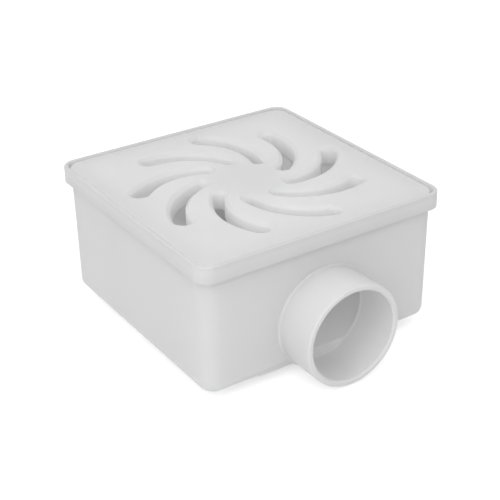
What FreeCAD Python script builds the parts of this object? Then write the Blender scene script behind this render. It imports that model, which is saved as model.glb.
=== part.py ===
import FreeCAD, Part
import math
import os
import Sketcher
from FreeCAD import Rotation, Vector

# A square floor gully of white plastic: an open box with a rim band and a pipe spigot in its
# front wall, a lift-out trap funnel whose tube dips into a moulded water cup, and a drop-in
# grate with nine curved slots.
# Millimetres, +Z up. The origin is the centre of the pad under the box. The outlet points to -Y.

# Driving sizes

SIZES = {
    "rim_width": 104.7,
    "rim_depth": 6.5,
    "lip_width": 1.5,
    "lip_chamfer": 0.4,
    "lip_inner_chamfer": 0.3,
    "shelf_thickness": 1.5,
    "box_height": 53.8,
    "rim_overhang": 1.95,
    "box_taper": 0.35,
    "plan_corner": 5.8,
    "base_round": 3.9,
    "wall": 1.8,
    "floor_thickness": 3.5,
    "pad_depth": 0.7,
    "pad_width": 54.0,
    "pad_inset": 2.5,
    "outlet_diameter": 40.0,
    "outlet_bore": 35.3,
    "outlet_height": 17.6,
    "outlet_length": 17.75,
    "outlet_chamfer": 0.6,
    "outlet_root_flare": 0.8,
    "cup_radius": 30.0,
    "cup_wall": 1.8,
    "weir_height": 27.7,
    "insert_gap": 0.2,
    "flange_thickness": 1.5,
    "funnel_wall": 1.4,
    "funnel_clearance": 0.4,
    "mouth_depth": 5.2,
    "funnel_drop": 13.5,
    "dip_tube_radius": 18.5,
    "dip_gap": 8.0,
    "grate_recess": 0.7,
    "grate_plate": 2.0,
    "grate_skirt": 1.8,
    "grate_corner": 6.3,
    "grate_chamfer": 0.5,
    "slot_count": 9,
    "slot_depth": 7.2,
    "slot_collar": 1.4,
    "slot_outer_width": 6.0,
    "slot_inner_width": 4.2,
    "collar_clearance": 1.4,
    "slot_inner_radius": 17.0,
    "slot_curve_radius": 27.2,
    "slot_curve_offset": 23.6,
    "slot_turn": 2.8,
    "slot_chamfer": 1.3,
}

doc = FreeCAD.newDocument("gully_trap")
sheet = doc.addObject("Spreadsheet::Sheet", "Sizes")
for row, (alias, value) in enumerate(SIZES.items(), start=1):
    sheet.set("A%d" % row, alias)
    sheet.set("B%d" % row, str(value))
    sheet.setAlias("B%d" % row, alias)
doc.recompute()


# Named places worked out from the sizes

BOX_UNDERSIDE = "Sizes.pad_depth"
FLOOR_TOP = "Sizes.floor_thickness"
RIM_UNDERSIDE = "Sizes.box_height - Sizes.rim_depth"
FUNNEL_SEAT = "Sizes.box_height - Sizes.rim_depth + Sizes.shelf_thickness"
GRATE_SEAT = "Sizes.box_height - Sizes.rim_depth + Sizes.shelf_thickness + Sizes.flange_thickness"
GRATE_HEIGHT = "(Sizes.rim_depth - Sizes.shelf_thickness - Sizes.flange_thickness - Sizes.grate_recess)"
REBATE_WIDTH = "Sizes.rim_width - 2 * Sizes.lip_width"
REBATE_CORNER = "Sizes.plan_corner - Sizes.lip_width"
INSERT_WIDTH = "Sizes.rim_width - 2 * Sizes.lip_width - 2 * Sizes.insert_gap"
INSERT_CORNER = "Sizes.plan_corner - Sizes.lip_width - Sizes.insert_gap"
INNER_CORNER = "Sizes.plan_corner - Sizes.wall"
BOX_SIDE_HEIGHT = "Sizes.box_height - Sizes.rim_depth - Sizes.pad_depth"
WALL_DRAFT = "atan(Sizes.box_taper / (%s))" % BOX_SIDE_HEIGHT
BASE_HALF_WIDTH = "(Sizes.rim_width / 2 - Sizes.rim_overhang - Sizes.box_taper)"
OUTLET_REACH = "(%s + Sizes.outlet_length)" % BASE_HALF_WIDTH
MOUTH_RADIUS = ("(Sizes.rim_width / 2 - Sizes.rim_overhang - Sizes.wall - Sizes.funnel_clearance"
                " - Sizes.funnel_wall)")
SLOT_OUTER_RADIUS = ("(%s - Sizes.collar_clearance - Sizes.slot_collar - Sizes.slot_outer_width / 2)"
                     % MOUTH_RADIUS)
SLOT_RADIUS = {"inner": "Sizes.slot_inner_radius", "outer": SLOT_OUTER_RADIUS}


# Sketch helpers

def new_sketch(body, name, plane, height="0"):
    """Empty sketch on one of the body's origin planes, raised along its normal."""
    sketch = body.newObject("Sketcher::SketchObject", name)
    support = [item for item in body.Origin.OriginFeatures if item.Role == plane][0]
    sketch.AttachmentSupport = [(support, "")]
    sketch.MapMode = "FlatFace"
    if height != "0":
        sketch.setExpression("AttachmentOffset.Base.z", height)
    return sketch


def value_of(expression):
    """Number that an expression of the sheet gives now."""
    return float(sheet.evalExpression(expression.replace("Sizes.", "")))


def drive(sketch, constraint, expression):
    """Add a dimension to the sketch and bind it to an expression of the sheet."""
    index = sketch.addConstraint(constraint)
    sketch.setExpression("Constraints[%d]" % index, expression)


def pin_point(sketch, geometry, position, x, y):
    """Hold a vertex at x and y from the sketch's origin."""
    for kind, axis, expression in (("DistanceX", -2, x), ("DistanceY", -1, y)):
        if expression == "0":
            sketch.addConstraint(Sketcher.Constraint("PointOnObject", geometry, position, axis))
        else:
            distance = value_of(expression)
            drive(sketch, Sketcher.Constraint(kind, -1, 1, geometry, position, distance), expression)


def square(sketch, width, corner):
    """Square with round corners about the sketch's origin."""
    half = value_of(width) / 2
    radius = value_of(corner)
    flat = half - radius
    up = Vector(0, 0, 1)
    for quarter in range(4):
        turn = Rotation(up, 90 * quarter)
        start = turn.multVec(Vector(-flat, -half, 0))
        end = turn.multVec(Vector(flat, -half, 0))
        sketch.addGeometry(Part.LineSegment(start, end))
    for quarter in range(4):
        centre = Rotation(up, 90 * quarter).multVec(Vector(flat, -flat, 0))
        circle = Part.Circle(centre, up, radius)
        begin = math.radians(90 * quarter - 90)
        sketch.addGeometry(Part.ArcOfCircle(circle, begin, begin + math.pi / 2))
    for quarter in range(4):
        arc = 4 + quarter
        following = (quarter + 1) % 4
        sketch.addConstraint(Sketcher.Constraint("Tangent", quarter, 2, arc, 1))
        sketch.addConstraint(Sketcher.Constraint("Tangent", arc, 2, following, 1))
    sketch.addConstraint(Sketcher.Constraint("Horizontal", 0))
    sketch.addConstraint(Sketcher.Constraint("Vertical", 1))
    sketch.addConstraint(Sketcher.Constraint("Horizontal", 2))
    sketch.addConstraint(Sketcher.Constraint("Vertical", 3))
    for arc in (5, 6, 7):
        sketch.addConstraint(Sketcher.Constraint("Equal", 4, arc))
    sketch.addConstraint(Sketcher.Constraint("Symmetric", 4, 3, 6, 3, -1, 1))
    drive(sketch, Sketcher.Constraint("Radius", 4, radius), corner)
    drive(sketch, Sketcher.Constraint("DistanceX", 3, 1, 1, 1, 2 * half), width)
    drive(sketch, Sketcher.Constraint("DistanceY", 0, 1, 2, 1, 2 * half), width)


def polygon(sketch, corners):
    """Closed outline through corners given as pairs of expressions."""
    points = [Vector(value_of(x), value_of(y), 0) for x, y in corners]
    for index, point in enumerate(points):
        sketch.addGeometry(Part.LineSegment(point, points[(index + 1) % len(points)]))
    for index, (x, y) in enumerate(corners):
        sketch.addConstraint(Sketcher.Constraint("Coincident", (index - 1) % len(corners), 2, index, 1))
        pin_point(sketch, index, 1, x, y)


# Feature helpers

def pad(body, name, sketch, length, draft="0"):
    """Solid up from a sketch; a draft in degrees widens it on the way."""
    feature = body.newObject("PartDesign::Pad", name)
    feature.Profile = sketch
    feature.setExpression("Length", length)
    if draft != "0":
        feature.setExpression("TaperAngle", draft)
    return feature


def pocket_up(body, name, sketch, length, draft="0"):
    """Cut up from a sketch; a draft in degrees widens it on the way."""
    feature = body.newObject("PartDesign::Pocket", name)
    feature.Profile = sketch
    feature.Reversed = True
    feature.setExpression("Length", length)
    if draft != "0":
        feature.setExpression("TaperAngle", draft)
    return feature


def turned(body, name, kind, sketch, axis):
    """Revolution or Groove of a full turn about one of the sketch's own axes."""
    feature = body.newObject("PartDesign::" + kind, name)
    feature.Profile = sketch
    feature.ReferenceAxis = (sketch, [axis])
    feature.Angle = 360
    return feature


def dressed(body, name, kind, wanted, size):
    """Fillet or Chamfer on the edges of the body's last feature that the test picks out."""
    doc.recompute()
    base = body.Tip
    edges = ["Edge%d" % (index + 1) for index, edge in enumerate(base.Shape.Edges) if wanted(edge)]
    feature = body.newObject("PartDesign::" + kind, name)
    feature.Base = (base, edges)
    feature.setExpression("Radius" if kind == "Fillet" else "Size", size)
    return feature


def flat_at(edge, height):
    """Whether the edge lies level at the height."""
    box = edge.BoundBox
    return abs(box.ZMin - height) < 1e-4 and abs(box.ZMax - height) < 1e-4


def reach(edge):
    """Greatest distance of the edge from the middle, along X or Y."""
    box = edge.BoundBox
    return max(abs(box.XMin), abs(box.XMax), abs(box.YMin), abs(box.YMax))


# Gully body

def make_gully_body():
    body = doc.addObject("PartDesign::Body", "gully_body")
    body.Label = "gully_body"

    # Tapered outside of the box, then the rim band that stands out round its top
    box_outline = new_sketch(body, "box_outline", "XY_Plane", BOX_UNDERSIDE)
    square(box_outline, "2 * " + BASE_HALF_WIDTH, "Sizes.plan_corner")
    pad(body, "box", box_outline, BOX_SIDE_HEIGHT, WALL_DRAFT)
    underside = value_of(BOX_UNDERSIDE)
    dressed(body, "box_base_round", "Fillet", lambda edge: flat_at(edge, underside), "Sizes.base_round")

    rim_outline = new_sketch(body, "rim_outline", "XY_Plane", RIM_UNDERSIDE)
    square(rim_outline, "Sizes.rim_width", "Sizes.plan_corner")
    pad(body, "rim", rim_outline, "Sizes.rim_depth")

    # Shallow pad under the floor, from the outlet wall to beyond the trap cup
    pad_outline = new_sketch(body, "pad_outline", "XY_Plane")
    half_pad = "Sizes.pad_width / 2"
    front = "-(%s - Sizes.pad_inset)" % BASE_HALF_WIDTH
    polygon(pad_outline, [("-" + half_pad, front), (half_pad, front),
                          (half_pad, half_pad), ("-" + half_pad, half_pad)])
    pad(body, "pad", pad_outline, "Sizes.floor_thickness")

    # Spigot, drawn on its own axis: it flares a little where it leaves the front wall
    spigot = new_sketch(body, "spigot_profile", "YZ_Plane")
    spigot.setExpression("AttachmentOffset.Base.y", "Sizes.outlet_height")
    radius = "Sizes.outlet_diameter / 2"
    end = "-" + OUTLET_REACH
    root = "-(%s - 2 * Sizes.wall)" % BASE_HALF_WIDTH
    wall_face = "-" + BASE_HALF_WIDTH
    polygon(spigot, [(end, "0"), (root, "0"), (root, radius + " + Sizes.outlet_root_flare"),
                     (wall_face, radius + " + Sizes.outlet_root_flare"),
                     (wall_face + " - Sizes.outlet_root_flare", radius), (end, radius)])
    turned(body, "spigot", "Revolution", spigot, "H_Axis")

    # Inside of the box down to the floor, and the rebate that takes the funnel and the grate
    cavity_outline = new_sketch(body, "cavity_outline", "XY_Plane", FLOOR_TOP)
    square(cavity_outline, "2 * (%s - Sizes.wall)" % BASE_HALF_WIDTH, INNER_CORNER)
    pocket_up(body, "cavity", cavity_outline, FUNNEL_SEAT + " - Sizes.floor_thickness", WALL_DRAFT)
    rebate_outline = new_sketch(body, "rebate_outline", "XY_Plane", FUNNEL_SEAT)
    square(rebate_outline, REBATE_WIDTH, REBATE_CORNER)
    pocket_up(body, "rebate", rebate_outline, "Sizes.rim_depth - Sizes.shelf_thickness")

    # Water cup moulded up from the floor: its top is the weir
    cup = new_sketch(body, "cup_profile", "XZ_Plane")
    cup_foot = "Sizes.floor_thickness / 2"
    weir = "Sizes.floor_thickness + Sizes.weir_height"
    outer = "Sizes.cup_radius + Sizes.cup_wall"
    polygon(cup, [("Sizes.cup_radius", cup_foot), (outer, cup_foot), (outer, weir),
                  ("Sizes.cup_radius", weir)])
    turned(body, "cup", "Revolution", cup, "V_Axis")

    # Bore of the spigot, as far as the inside of the wall
    bore = new_sketch(body, "bore_profile", "YZ_Plane")
    bore.setExpression("AttachmentOffset.Base.y", "Sizes.outlet_height")
    mouth = "-(%s + Sizes.wall)" % OUTLET_REACH
    inner_face = "-(%s - Sizes.wall)" % BASE_HALF_WIDTH
    polygon(bore, [(mouth, "0"), (inner_face, "0"), (inner_face, "Sizes.outlet_bore / 2"),
                   (mouth, "Sizes.outlet_bore / 2")])
    turned(body, "bore", "Groove", bore, "H_Axis")

    # Edges: both rims of the spigot's end, outside of the lip, inside of the lip
    end_y = -value_of(OUTLET_REACH)
    dressed(body, "spigot_end_chamfer", "Chamfer", lambda edge: abs(edge.BoundBox.YMax - end_y) < 1e-4,
            "Sizes.outlet_chamfer")
    top = value_of("Sizes.box_height")
    lip_inside = value_of(REBATE_WIDTH) / 2 + 1e-3
    dressed(body, "lip_outer_chamfer", "Chamfer",
            lambda edge: flat_at(edge, top) and reach(edge) > lip_inside, "Sizes.lip_chamfer")
    dressed(body, "lip_inner_chamfer", "Chamfer",
            lambda edge: flat_at(edge, top) and reach(edge) < lip_inside, "Sizes.lip_inner_chamfer")
    return body


# Trap funnel

def make_trap_funnel():
    body = doc.addObject("PartDesign::Body", "trap_funnel")
    body.Label = "trap_funnel"

    # Square flange that lies on the ledge of the rim
    flange_outline = new_sketch(body, "flange_outline", "XY_Plane")
    square(flange_outline, INSERT_WIDTH, INSERT_CORNER)
    pad(body, "flange", flange_outline, "Sizes.flange_thickness")

    # Mouth, cone and dip tube as one solid, then the water's way through it, one wall smaller
    top = "Sizes.flange_thickness"
    shoulder = "Sizes.flange_thickness - Sizes.mouth_depth"
    knee = "Sizes.flange_thickness - Sizes.funnel_drop"
    lower_end = "Sizes.floor_thickness + Sizes.dip_gap - (%s)" % FUNNEL_SEAT
    tube_outside = "Sizes.dip_tube_radius + Sizes.funnel_wall"
    mouth_outside = MOUTH_RADIUS + " + Sizes.funnel_wall"
    outside = new_sketch(body, "funnel_outside", "XZ_Plane")
    polygon(outside, [("0", lower_end), (tube_outside, lower_end),
                      (tube_outside, knee + " - Sizes.funnel_wall"),
                      (mouth_outside, shoulder + " - Sizes.funnel_wall"), (mouth_outside, top), ("0", top)])
    turned(body, "funnel", "Revolution", outside, "V_Axis")
    inside = new_sketch(body, "funnel_inside", "XZ_Plane")
    above = top + " + Sizes.funnel_wall"
    below = lower_end + " - Sizes.funnel_wall"
    polygon(inside, [("0", below), ("Sizes.dip_tube_radius", below), ("Sizes.dip_tube_radius", knee),
                     (MOUTH_RADIUS, shoulder), (MOUTH_RADIUS, above), ("0", above)])
    turned(body, "funnel_way", "Groove", inside, "V_Axis")
    body.setExpression("Placement.Base.z", FUNNEL_SEAT)
    return body


# Grate

def slot_outline(sketch, margin="0"):
    """One curved slot with round ends, wider at its outer end, or a collar a margin larger.

    Its middle line is an arc about a point off the grate's centre. The two sides are arcs that
    meet the two round ends smoothly.
    """
    offset = value_of("Sizes.slot_curve_offset")
    curve = value_of("Sizes.slot_curve_radius")
    turn = math.radians(value_of("Sizes.slot_turn"))
    up = Vector(0, 0, 1)
    curve_centre = Vector(offset * math.cos(turn), offset * math.sin(turn), 0)

    def end_of_slot(place):
        """Centre of a round end, its direction from the curve's centre, and its radius."""
        radius = value_of(SLOT_RADIUS[place])
        lag = math.acos((radius ** 2 + offset ** 2 - curve ** 2) / (2 * radius * offset))
        centre = Vector(radius * math.cos(turn - lag), radius * math.sin(turn - lag), 0)
        spoke = centre - curve_centre
        half = value_of("Sizes.slot_%s_width / 2 + %s" % (place, margin))
        return centre, math.atan2(spoke.y, spoke.x), half

    inner_centre, inner_angle, inner_half = end_of_slot("inner")
    outer_centre, outer_angle, outer_half = end_of_slot("outer")
    half = (inner_half + outer_half) / 2
    far_side = sketch.addGeometry(Part.ArcOfCircle(Part.Circle(curve_centre, up, curve + half),
                                                   inner_angle, outer_angle))
    near_side = sketch.addGeometry(Part.ArcOfCircle(Part.Circle(curve_centre, up, curve - half),
                                                    inner_angle, outer_angle))
    outer_end = sketch.addGeometry(Part.ArcOfCircle(Part.Circle(outer_centre, up, outer_half),
                                                    outer_angle, outer_angle + math.pi))
    inner_end = sketch.addGeometry(Part.ArcOfCircle(Part.Circle(inner_centre, up, inner_half),
                                                    inner_angle + math.pi, inner_angle + 2 * math.pi))
    sketch.addConstraint(Sketcher.Constraint("Tangent", far_side, 2, outer_end, 1))
    sketch.addConstraint(Sketcher.Constraint("Tangent", near_side, 2, outer_end, 2))
    sketch.addConstraint(Sketcher.Constraint("Tangent", near_side, 1, inner_end, 1))
    sketch.addConstraint(Sketcher.Constraint("Tangent", far_side, 1, inner_end, 2))

    middle = sketch.addGeometry(Part.Circle(curve_centre, up, curve), True)
    pin_point(sketch, middle, 3, "Sizes.slot_curve_offset * cos(Sizes.slot_turn)",
              "Sizes.slot_curve_offset * sin(Sizes.slot_turn)")
    drive(sketch, Sketcher.Constraint("Radius", middle, curve), "Sizes.slot_curve_radius")
    for place, end in (("inner", inner_end), ("outer", outer_end)):
        radius = SLOT_RADIUS[place]
        ring = sketch.addGeometry(Part.Circle(Vector(0, 0, 0), up, value_of(radius)), True)
        sketch.addConstraint(Sketcher.Constraint("Coincident", ring, 3, -1, 1))
        drive(sketch, Sketcher.Constraint("Radius", ring, value_of(radius)), radius)
        sketch.addConstraint(Sketcher.Constraint("PointOnObject", end, 3, ring))
        sketch.addConstraint(Sketcher.Constraint("PointOnObject", end, 3, middle))
        half_width = "Sizes.slot_%s_width / 2 + %s" % (place, margin)
        drive(sketch, Sketcher.Constraint("Radius", end, value_of(half_width)), half_width)
    half_width = "((Sizes.slot_inner_width + Sizes.slot_outer_width) / 4 + %s)" % margin
    for side, sign in ((far_side, "+"), (near_side, "-")):
        radius = "Sizes.slot_curve_radius %s %s" % (sign, half_width)
        drive(sketch, Sketcher.Constraint("Radius", side, value_of(radius)), radius)


def make_grate():
    body = doc.addObject("PartDesign::Body", "grate")
    body.Label = "grate"

    # Plate with a skirt round its edge, hollow underneath
    outline = new_sketch(body, "grate_outline", "XY_Plane")
    square(outline, INSERT_WIDTH, "Sizes.grate_corner")
    pad(body, "grate_block", outline, GRATE_HEIGHT)
    hollow_outline = new_sketch(body, "grate_hollow_outline", "XY_Plane")
    square(hollow_outline, INSERT_WIDTH + " - 2 * Sizes.grate_skirt", INNER_CORNER)
    pocket_up(body, "grate_hollow", hollow_outline, GRATE_HEIGHT + " - Sizes.grate_plate")

    # Collar and slot, repeated round the middle: the collars reach down into the funnel's mouth
    collar_foot = GRATE_HEIGHT + " - Sizes.slot_depth"
    collar_outline = new_sketch(body, "collar_outline", "XY_Plane", collar_foot)
    slot_outline(collar_outline, "Sizes.slot_collar")
    first_collar = pad(body, "first_collar", collar_outline, "Sizes.slot_depth - Sizes.grate_plate / 2")
    slot = new_sketch(body, "slot_outline", "XY_Plane", collar_foot)
    slot_outline(slot)
    first_slot = pocket_up(body, "first_slot", slot, "Sizes.slot_depth")
    doc.recompute()
    slots = body.newObject("PartDesign::PolarPattern", "slots")
    slots.Originals = [first_collar, first_slot]
    slots.Axis = (slot, ["N_Axis"])
    slots.Angle = 360
    slots.setExpression("Occurrences", "Sizes.slot_count")
    body.Tip = slots

    top = value_of(GRATE_HEIGHT)
    side = value_of(INSERT_WIDTH) / 2 - value_of("Sizes.grate_corner") - 1e-3
    dressed(body, "slot_chamfers", "Chamfer",
            lambda edge: flat_at(edge, top) and reach(edge) < side, "Sizes.slot_chamfer")
    dressed(body, "grate_edge_chamfer", "Chamfer",
            lambda edge: flat_at(edge, top) and reach(edge) > side, "Sizes.grate_chamfer")
    body.setExpression("Placement.Base.z", GRATE_SEAT)
    return body


# Build, test and write

bodies = [make_gully_body(), make_trap_funnel(), make_grate()]
doc.recompute()
for item in doc.Objects:
    if "Invalid" in item.State or "Error" in item.State:
        raise RuntimeError("%s failed: %s" % (item.Name, item.State))
for body in bodies:
    if body.Shape.isNull() or not body.Shape.isValid():
        raise RuntimeError("%s has no valid shape" % body.Label)
    if len(body.Shape.Solids) != 1:
        raise RuntimeError("%s is not one solid" % body.Label)
os.makedirs("parts", exist_ok=True)
for body in bodies:
    body.Shape.exportStep("parts/%s.step" % body.Label)
    print("%s: %.0f cubic mm" % (body.Label, body.Shape.Volume))
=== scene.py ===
import math

import bpy
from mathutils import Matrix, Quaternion, Vector


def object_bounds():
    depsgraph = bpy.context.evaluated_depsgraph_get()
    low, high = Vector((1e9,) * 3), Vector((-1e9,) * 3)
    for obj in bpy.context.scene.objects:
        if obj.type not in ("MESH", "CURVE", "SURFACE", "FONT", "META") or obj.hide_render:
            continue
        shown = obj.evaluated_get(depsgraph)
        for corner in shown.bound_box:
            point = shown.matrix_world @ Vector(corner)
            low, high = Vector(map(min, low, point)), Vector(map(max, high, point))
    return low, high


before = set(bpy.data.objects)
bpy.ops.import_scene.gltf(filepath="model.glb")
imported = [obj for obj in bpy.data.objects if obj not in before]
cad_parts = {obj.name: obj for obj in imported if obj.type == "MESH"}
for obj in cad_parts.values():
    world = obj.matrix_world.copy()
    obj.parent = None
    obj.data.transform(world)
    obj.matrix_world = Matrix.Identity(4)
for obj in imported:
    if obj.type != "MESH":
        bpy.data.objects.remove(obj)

CAD_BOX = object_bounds()
MM = 0.001
HALF_WIDTH = CAD_BOX[1].x
TOP = CAD_BOX[1].z
WHITE = (1.0, 1.0, 1.0, 1.0)

# Camera, fitted to the photograph: place and aim in mm, roll in degrees, lens and sensor in mm, range in m
CAMERA_PLACE_MM = (-228.76, -349.32, 247.98)
CAMERA_AIM_MM = (-1.993, -5.0, 25.0)
CAMERA_ROLL = -0.906
CAMERA_LENS = 87.84
CAMERA_SENSOR = 36.0
CAMERA_NEAR = 0.01
CAMERA_FAR = 20.0

# Room light, one lamp and the floor
WALL_LIGHT = 0.20
CEILING_LIGHT = 1.09
KEY_DIRECTION = (-0.62, -0.51, 0.60)
KEY_DISTANCE = 0.9
KEY_SIZE = 0.9
KEY_POWER = 2.95
FLOOR_REACH = 2.0
FLOOR_TONE = (0.86, 0.86, 0.86, 1.0)
FLOOR_LIFT = 0.45

# White plastic of each piece: the two tones of its clouds, roughness, and the share of light let through
# Painted light: the grate and the funnel have lighter tones than the body, lifting the grate's top and the
# inside
PLASTICS = {
    "gully_body": {"light": 0.885, "dark": 0.875, "roughness": 0.42, "see_through": 0.39},
    "trap_funnel": {"light": 0.99, "dark": 0.98, "roughness": 0.45, "see_through": 0.62},
    "grate": {"light": 0.985, "dark": 0.975, "roughness": 0.40, "see_through": 0.54},
}
REFRACTION = 1.48
SPECULAR = 0.4
ROUGHNESS_SPREAD = 0.05
TOOL_MARK_STRENGTH = 0.12
TOOL_MARK_HEIGHT = 0.02 * MM
EDGE_ROUND = 0.15 * MM
EDGE_SAMPLES = 8

# Noises of the plastic, and the middle range of them that is used
CLOUDS = {"Scale": 28.0, "Detail": 3.0}
GLOSS = {"Scale": 90.0, "Detail": 4.0}
TOOL_MARKS = {"Scale": 2600.0, "Detail": 2.0}
NOISE_ROUGHNESS = 0.55
NOISE_LOW = 0.3
NOISE_HIGH = 0.7

# Body: painted shade towards the lip's top and on the spigot, painted light inside, and a spigot with a
# thicker wall.
# CORNER_CUT is how far the round of a corner cuts back, measured from the middle
# Painted shade: the lip's tone is darkened towards its top, which dims the lamp's highlight on its edges
LIP_PAINTED_SHADE = 0.94
LIP_PAINTED_SHADE_FOOT = TOP - 2.8 * MM
LIP_PAINTED_SHADE_TOP = TOP - 0.4 * MM
# Painted light: the body's inside is given a lighter tone than its outside
INSIDE_PAINTED_LIGHT = 1.1
INSIDE_REACH = HALF_WIDTH - 2.95 * MM
OUTSIDE_REACH = HALF_WIDTH - 2.55 * MM
CORNER_CUT = 1.9 * MM
# Painted shade: the spigot's tone is a little darker than the box's
SPIGOT_PAINTED_SHADE = 0.985
SPIGOT_SEE_THROUGH = 0.26
SPIGOT_ROOT = -HALF_WIDTH - 0.05 * MM
SPIGOT_START = SPIGOT_ROOT - 2.6 * MM

# Grate: a border that lies on the funnel's flange, and a round field of slots with soft edges
BORDER_SEE_THROUGH = 0.39
BORDER_START = HALF_WIDTH - 5.85 * MM
BORDER_END = HALF_WIDTH - 2.85 * MM
SLOT_FIELD = HALF_WIDTH - 4.85 * MM
SLOT_EDGE_ROUND = 1.0 * MM


def feed(tree, socket, source):
    """Links the socket to another node's output, or sets it to a number or a colour."""
    if isinstance(source, bpy.types.NodeSocket):
        tree.links.new(source, socket)
    else:
        socket.default_value = source


def node(tree, kind, operation=None, inputs=(), **named):
    """New shader node. Its inputs are fed in order, or by name with underscores for spaces."""
    made = tree.nodes.new(kind)
    if operation:
        made.operation = operation
    for socket, source in zip(made.inputs, inputs):
        feed(tree, socket, source)
    for name, source in named.items():
        feed(tree, made.inputs[name.replace("_", " ")], source)
    return made


def calculate(tree, operation, *sources):
    """Result of one step of arithmetic."""
    return node(tree, "ShaderNodeMath", operation, sources).outputs["Value"]


def ramp(tree, source, start, stop, before, after):
    """Value that goes from before to after while the source goes from start to stop."""
    made = node(tree, "ShaderNodeMapRange", Value=source,
                From_Min=start, From_Max=stop, To_Min=before, To_Max=after)
    return made.outputs["Result"]


def coordinates(tree, vector):
    """The three parts of a vector, by name."""
    return node(tree, "ShaderNodeSeparateXYZ", Vector=vector).outputs


def grain(tree, place, noise):
    """Soft noise in the object's own space."""
    return node(tree, "ShaderNodeTexNoise", Vector=place, Roughness=NOISE_ROUGHNESS, **noise).outputs["Fac"]


def side_distance(tree, place):
    """How far out a place lies, measured square to the sides, with rounded corners counted alike."""
    size = node(tree, "ShaderNodeVectorMath", "ABSOLUTE", (place,))
    parts = coordinates(tree, size.outputs["Vector"])
    side = calculate(tree, "MAXIMUM", parts["X"], parts["Y"])
    mean = calculate(tree, "MULTIPLY", calculate(tree, "ADD", parts["X"], parts["Y"]), 0.5)
    return calculate(tree, "MAXIMUM", side, calculate(tree, "ADD", mean, CORNER_CUT))


def body_tone_with_painted_light(tree, place, tone):
    """The tone, with painted shade darker towards the lip's top and on the spigot, and painted light inside
    the body.
    """
    parts = coordinates(tree, place)
    # Painted shade on the lip and the spigot, painted light on the body's inside
    for shade in (
        ramp(tree, parts["Z"], LIP_PAINTED_SHADE_FOOT, LIP_PAINTED_SHADE_TOP, 1.0, LIP_PAINTED_SHADE),
        ramp(tree, parts["Y"], SPIGOT_ROOT, SPIGOT_START, 1.0, SPIGOT_PAINTED_SHADE),
        ramp(tree, side_distance(tree, place), INSIDE_REACH, OUTSIDE_REACH, INSIDE_PAINTED_LIGHT, 1.0),
    ):
        tone = calculate(tree, "MULTIPLY", tone, shade)
    return tone


def body_share(tree, place, see_through):
    """Share of light let through, less in the spigot's thicker wall."""
    depth = coordinates(tree, place)["Y"]
    return ramp(tree, depth, SPIGOT_ROOT, SPIGOT_START, see_through, SPIGOT_SEE_THROUGH)


def grate_share(tree, place, see_through):
    """Share of light let through, less where the border lies on the funnel's flange."""
    return ramp(tree, side_distance(tree, place), BORDER_START, BORDER_END, see_through, BORDER_SEE_THROUGH)


def slot_edge_round(tree, place):
    """Wide soft edges round the slots, fine ones outside their field."""
    flat = node(tree, "ShaderNodeVectorMath", "MULTIPLY", (place, (1.0, 1.0, 0.0)))
    reach = node(tree, "ShaderNodeVectorMath", "LENGTH", (flat.outputs["Vector"],))
    inside = calculate(tree, "LESS_THAN", reach.outputs["Value"], SLOT_FIELD)
    return ramp(tree, inside, 0.0, 1.0, EDGE_ROUND, SLOT_EDGE_ROUND)


def surface_normal(tree, place, edge_round):
    """Edges softened by the given radius, with fine tool marks on top."""
    softened = node(tree, "ShaderNodeBevel", Radius=edge_round)
    softened.samples = EDGE_SAMPLES
    marks = node(tree, "ShaderNodeBump", Strength=TOOL_MARK_STRENGTH, Distance=TOOL_MARK_HEIGHT,
                 Height=grain(tree, place, TOOL_MARKS), Normal=softened.outputs["Normal"])
    return marks.outputs["Normal"]


def white_plastic(name, light, dark, roughness, see_through):
    """Satin plastic with a faint cloudy tone and uneven gloss, which lets some light through."""
    material = bpy.data.materials.new(name + "_plastic")
    material.use_nodes = True
    tree = material.node_tree
    place = node(tree, "ShaderNodeTexCoord").outputs["Object"]

    tone = ramp(tree, grain(tree, place, CLOUDS), NOISE_LOW, NOISE_HIGH, dark, light)
    gloss = ramp(tree, grain(tree, place, GLOSS), NOISE_LOW, NOISE_HIGH,
                 roughness - ROUGHNESS_SPREAD, roughness + ROUGHNESS_SPREAD)
    share = see_through
    edge_round = EDGE_ROUND
    if name == "gully_body":
        # The body's tone gets painted shade on the lip and the spigot, and painted light inside
        tone = body_tone_with_painted_light(tree, place, tone)
        share = body_share(tree, place, see_through)
    elif name == "grate":
        share = grate_share(tree, place, see_through)
        edge_round = slot_edge_round(tree, place)
    normal = surface_normal(tree, place, edge_round)

    shader = tree.nodes["Principled BSDF"]
    looks = {"Base Color": tone, "Roughness": gloss, "Normal": normal,
             "IOR": REFRACTION, "Specular IOR Level": SPECULAR}
    for socket, source in looks.items():
        feed(tree, shader.inputs[socket], source)
    glow = node(tree, "ShaderNodeBsdfTranslucent", Color=tone, Normal=normal)
    both = node(tree, "ShaderNodeMixShader", inputs=(share, shader.outputs["BSDF"], glow.outputs["BSDF"]))
    feed(tree, tree.nodes["Material Output"].inputs["Surface"], both.outputs["Shader"])
    return material


def dress_nodes():
    """Gives each moulded piece its own plastic."""
    for name, look in PLASTICS.items():
        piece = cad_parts[name]
        piece.data.materials.clear()
        piece.data.materials.append(white_plastic(name, **look))


def looked_at(tree):
    """1 where a camera, glossy or transmission ray looks, 0 for the rays that light the object."""
    path = node(tree, "ShaderNodeLightPath")
    seen = path.outputs["Is Camera Ray"]
    for ray in ("Is Glossy Ray", "Is Transmission Ray"):
        seen = calculate(tree, "MAXIMUM", seen, path.outputs[ray])
    return seen


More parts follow.
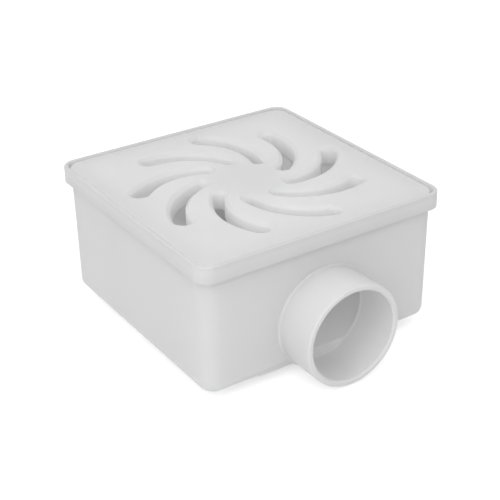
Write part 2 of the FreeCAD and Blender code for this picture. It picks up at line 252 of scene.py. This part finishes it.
def make_world():
    """White to look at, and a room light on the object that is dim low down and bright overhead."""
    world = bpy.data.worlds.new("studio")
    bpy.context.scene.world = world
    world.use_nodes = True
    tree = world.node_tree
    tree.nodes.clear()
    direction = node(tree, "ShaderNodeTexCoord").outputs["Generated"]
    strength = ramp(tree, coordinates(tree, direction)["Z"], 0.0, 1.0, WALL_LIGHT, CEILING_LIGHT)
    room = node(tree, "ShaderNodeBackground", Color=WHITE, Strength=strength)
    backdrop = node(tree, "ShaderNodeBackground", Color=WHITE, Strength=1.0)
    mix = node(tree, "ShaderNodeMixShader",
               inputs=(looked_at(tree), room.outputs["Background"], backdrop.outputs["Background"]))
    node(tree, "ShaderNodeOutputWorld", Surface=mix.outputs["Shader"])


def pale_floor_material():
    """Matt floor, lifted towards white where it is looked at."""
    material = bpy.data.materials.new("pale_floor")
    material.use_nodes = True
    tree = material.node_tree
    tree.nodes.clear()
    matt = node(tree, "ShaderNodeBsdfDiffuse", Color=FLOOR_TONE)
    strength = calculate(tree, "MULTIPLY", looked_at(tree), FLOOR_LIFT)
    lift = node(tree, "ShaderNodeEmission", Color=WHITE, Strength=strength)
    both = node(tree, "ShaderNodeAddShader", inputs=(matt.outputs["BSDF"], lift.outputs["Emission"]))
    node(tree, "ShaderNodeOutputMaterial", Surface=both.outputs["Shader"])
    return material


def make_floor():
    """Pale floor under the lowest point, which keeps the object's shadow."""
    low = CAD_BOX[0].z
    signs = ((-1, -1), (1, -1), (1, 1), (-1, 1))
    mesh = bpy.data.meshes.new("floor")
    mesh.from_pydata([(x * FLOOR_REACH, y * FLOOR_REACH, low) for x, y in signs], [], [(0, 1, 2, 3)])
    mesh.materials.append(pale_floor_material())
    floor = bpy.data.objects.new("floor", mesh)
    bpy.context.collection.objects.link(floor)


def make_key_light():
    """One large soft lamp, high at the left front."""
    lamp = bpy.data.lights.new("key", "AREA")
    lamp.shape = "DISK"
    lamp.size = KEY_SIZE
    lamp.energy = KEY_POWER
    holder = bpy.data.objects.new("key", lamp)
    towards = Vector(KEY_DIRECTION).normalized()
    holder.location = towards * KEY_DISTANCE
    holder.rotation_mode = "QUATERNION"
    holder.rotation_quaternion = (-towards).to_track_quat("-Z", "Y")
    bpy.context.collection.objects.link(holder)


def make_camera():
    """The photograph's viewpoint."""
    data = bpy.data.cameras.new("camera")
    data.lens = CAMERA_LENS
    data.sensor_width = CAMERA_SENSOR
    data.clip_start = CAMERA_NEAR
    data.clip_end = CAMERA_FAR
    camera = bpy.data.objects.new("camera", data)
    place = Vector(CAMERA_PLACE_MM) * MM
    aim = Vector(CAMERA_AIM_MM) * MM
    camera.location = place
    camera.rotation_mode = "QUATERNION"
    roll = Quaternion((0.0, 0.0, 1.0), math.radians(CAMERA_ROLL))
    camera.rotation_quaternion = (aim - place).to_track_quat("-Z", "Y") @ roll
    bpy.context.collection.objects.link(camera)
    bpy.context.scene.camera = camera


dress_nodes()
make_world()
make_floor()
make_key_light()
make_camera()
bpy.context.scene.view_settings.view_transform = "Standard"
